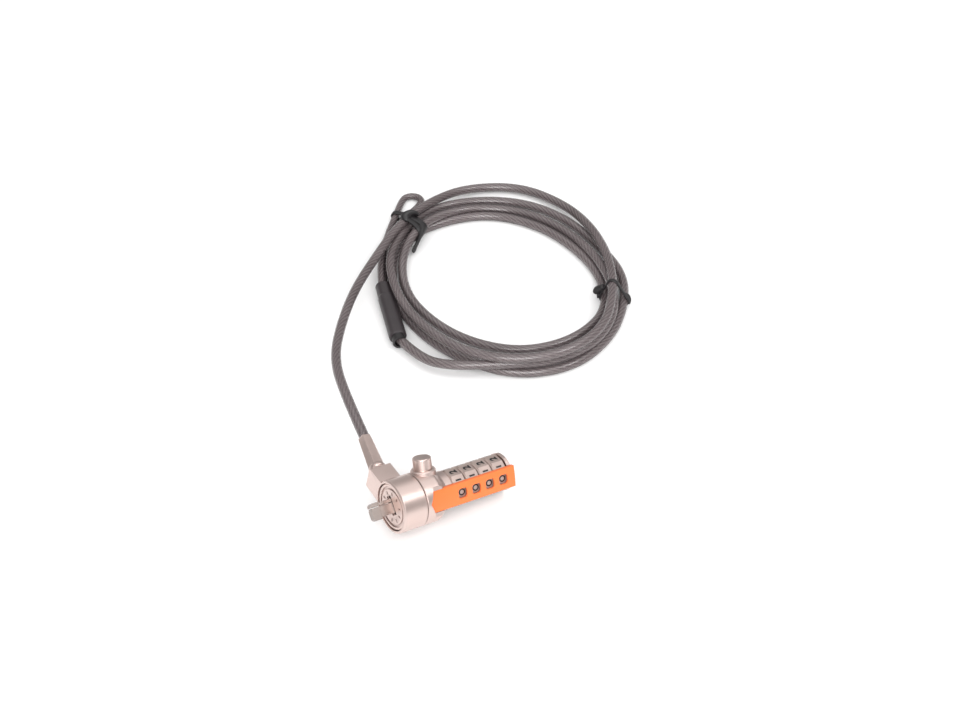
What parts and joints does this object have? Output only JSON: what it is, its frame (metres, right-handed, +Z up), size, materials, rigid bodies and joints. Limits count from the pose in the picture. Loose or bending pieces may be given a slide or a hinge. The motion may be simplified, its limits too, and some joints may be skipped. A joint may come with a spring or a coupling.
{
  "type": "laptop cable lock",
  "caption": "Combination laptop lock: swivel collar, number wheels, push button and T head on a coiled steel cable with an anchor loop.",
  "frame": {"origin": "on the surface, under the middle of the lock (its box without the cable)", "axes": "+X from the T head towards the barrel's end, +Z up, +Y towards the coil"},
  "size_m": [0.196, 0.2031, 0.0297],
  "materials": {
    "satin_nickel": "satin nickel plate on zinc alloy",
    "wheel_metal": "satin nickel plate, black filled digits",
    "jaw_steel": "bare satin steel",
    "steel": "bright spring steel",
    "brass": "turned",
    "orange_plastic": "fine satin",
    "cable_sheath": "smoke grey clear sheath over twisted steel strand",
    "shrink_tube": "dark grey shrink tube",
    "black_plastic": "satin"
  },
  "bodies": {
    "cable": {"ferrule": "satin_nickel", "ferrule_pin": "steel", "cable_lead": "cable_sheath", "cable_tail": "cable_sheath", "cable_coil": "cable_sheath", "eye_loop": "cable_sheath", "crimp_sleeve": "shrink_tube", "sleeve_ring": "black_plastic", "loop_band": "black_plastic", "twist_tie_left": "black_plastic", "twist_tie_right": "black_plastic"},
    "collar": {"swivel_collar": "satin_nickel"},
    "lock": {"lock_body": "satin_nickel", "retaining_ring": "steel", "front_disc": "satin_nickel", "jaw_pins": "steel", "detent_plate": "steel", "side_cover": "orange_plastic", "end_plug": "satin_nickel", "code_set_screw": "steel", "button_spring": "steel"},
    "button": {"push_button": "satin_nickel", "button_clip": "steel"},
    "spindle": {"spindle": "steel"},
    "jaw_upper": {"upper_jaw": "jaw_steel"},
    "jaw_lower": {"lower_jaw": "jaw_steel"},
    "wheel_1": {"number_wheel_1": "wheel_metal", "gate_sleeve_1": "brass"},
    "wheel_2": {"number_wheel_2": "wheel_metal", "gate_sleeve_2": "brass"},
    "wheel_3": {"number_wheel_3": "wheel_metal", "gate_sleeve_3": "brass"},
    "wheel_4": {"number_wheel_4": "wheel_metal", "gate_sleeve_4": "brass"}
  },
  "joints": [
    {"name": "collar_swing", "type": "hinge", "parent": "cable", "child": "collar", "pos_m": [-0.01714, 0.00119, 0.0175], "axis": [0.1814, -0.0941, 0.9789], "range_deg": [-28.5, 1.5]},
    {"name": "barrel_turn", "type": "hinge", "parent": "collar", "child": "lock", "pos_m": [-0.02181, -0.01325, 0.01697], "axis": [0.9833, 0, -0.1822], "continuous": true},
    {"name": "button_press", "type": "slide", "parent": "lock", "child": "button", "axis": [-0.1657, -0.4163, -0.894], "range_m": [0, 0.003], "stiffness_N_per_m": 400, "springref_m": -0.002, "deforming": ["button_spring"]},
    {"name": "spindle_slide", "type": "slide", "parent": "lock", "child": "spindle", "axis": [-0.9833, 0, 0.1822], "range_m": [0, 0.002]},
    {"name": "upper_jaw_spread", "type": "hinge", "parent": "lock", "child": "jaw_upper", "pos_m": [-0.01384, -0.01017, 0.01826], "axis": [-0.1367, 0.6613, -0.7376], "range_deg": [0, 4.5]},
    {"name": "lower_jaw_spread", "type": "hinge", "parent": "lock", "child": "jaw_lower", "pos_m": [-0.01469, -0.01543, 0.0137], "axis": [0.1367, -0.6613, 0.7376], "range_deg": [0, 4.5]},
    {"name": "wheel_1_turn", "type": "hinge", "parent": "lock", "child": "wheel_1", "pos_m": [0.00543, -0.01325, 0.01193], "axis": [0.9833, 0, -0.1822], "continuous": true},
    {"name": "wheel_2_turn", "type": "hinge", "parent": "lock", "child": "wheel_2", "pos_m": [0.01171, -0.01325, 0.01076], "axis": [0.9833, 0, -0.1822], "continuous": true},
    {"name": "wheel_3_turn", "type": "hinge", "parent": "lock", "child": "wheel_3", "pos_m": [0.01799, -0.01325, 0.0096], "axis": [0.9833, 0, -0.1822], "continuous": true},
    {"name": "wheel_4_turn", "type": "hinge", "parent": "lock", "child": "wheel_4", "pos_m": [0.02428, -0.01325, 0.00843], "axis": [0.9833, 0, -0.1822], "continuous": true}
  ],
  "couplings": [
    {"joint": "spindle_slide", "follows": "button_press", "ratio": 0.6666},
    {"joint": "upper_jaw_spread", "follows": "button_press", "rad_per_m": 26.17},
    {"joint": "lower_jaw_spread", "follows": "button_press", "rad_per_m": 26.17}
  ]
}
